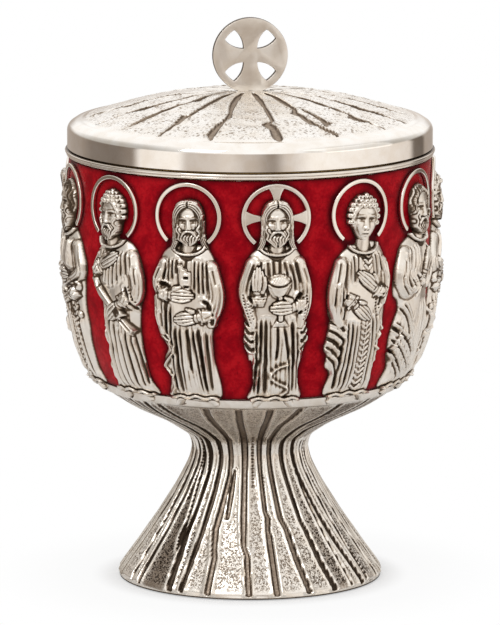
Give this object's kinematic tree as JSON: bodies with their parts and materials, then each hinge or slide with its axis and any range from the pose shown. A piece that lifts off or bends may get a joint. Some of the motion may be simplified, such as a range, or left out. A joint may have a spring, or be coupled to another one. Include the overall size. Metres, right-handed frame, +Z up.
{
  "type": "ciborium",
  "caption": "Silver ciborium with a flared foot, a red enamelled cup with standing relief figures under halos, and a lift-off domed lid with a pierced round cross.",
  "frame": {"origin": "centre of the foot's underside", "axes": "+Z up along the vessel's axis of revolution, -Y towards the figure with the cross in its halo, +X to the viewer's right"},
  "size_m": [0.1375, 0.1377, 0.201],
  "materials": {
    "polished_silver": "polished silver with a warm cast",
    "cast_silver": "plain cast silver sleeve",
    "oxidised_silver": "hammered and oxidised silver, dark in its grooves",
    "relief_silver": "cast silver relief, darkened in its folds and rubbed bright on its heights",
    "red_enamel": "glossy translucent red enamel over a textured ground",
    "gilt": "polished gilding",
    "steel": "plain turned steel"
  },
  "bodies": {
    "vessel": {"foot": "oxidised_silver", "cup_bowl": "gilt", "cup_sleeve": "cast_silver", "enamel_ground": "red_enamel", "rim_ring": "polished_silver", "lower_border": "polished_silver", "bowl_boss": "gilt", "tie_rod": "steel", "tie_nut": "steel", "tie_washer": "steel", "figure_01": "relief_silver", "figure_02": "relief_silver", "figure_03": "relief_silver", "figure_04": "relief_silver", "figure_05": "relief_silver", "figure_06": "relief_silver", "figure_07": "relief_silver", "figure_08": "relief_silver", "figure_09": "relief_silver", "figure_10": "relief_silver", "figure_11": "relief_silver", "figure_12": "relief_silver", "figure_13": "relief_silver", "halo_01": "polished_silver", "halo_02": "polished_silver", "halo_03": "polished_silver", "halo_04": "polished_silver", "halo_05": "polished_silver", "halo_06": "polished_silver", "halo_07": "polished_silver", "halo_08": "polished_silver", "halo_09": "polished_silver", "halo_10": "polished_silver", "halo_11": "polished_silver", "halo_12": "polished_silver", "halo_13": "polished_silver"},
    "lid": {"lid_shell": "polished_silver", "lid_collar": "gilt", "lid_lining": "gilt", "finial_cross": "polished_silver", "finial_washer": "gilt", "finial_nut": "gilt"}
  },
  "joints": [
    {"name": "lid_lift", "type": "slide", "parent": "vessel", "child": "lid", "axis": [0, 0, 1], "range_m": [0, 0.06]}
  ]
}
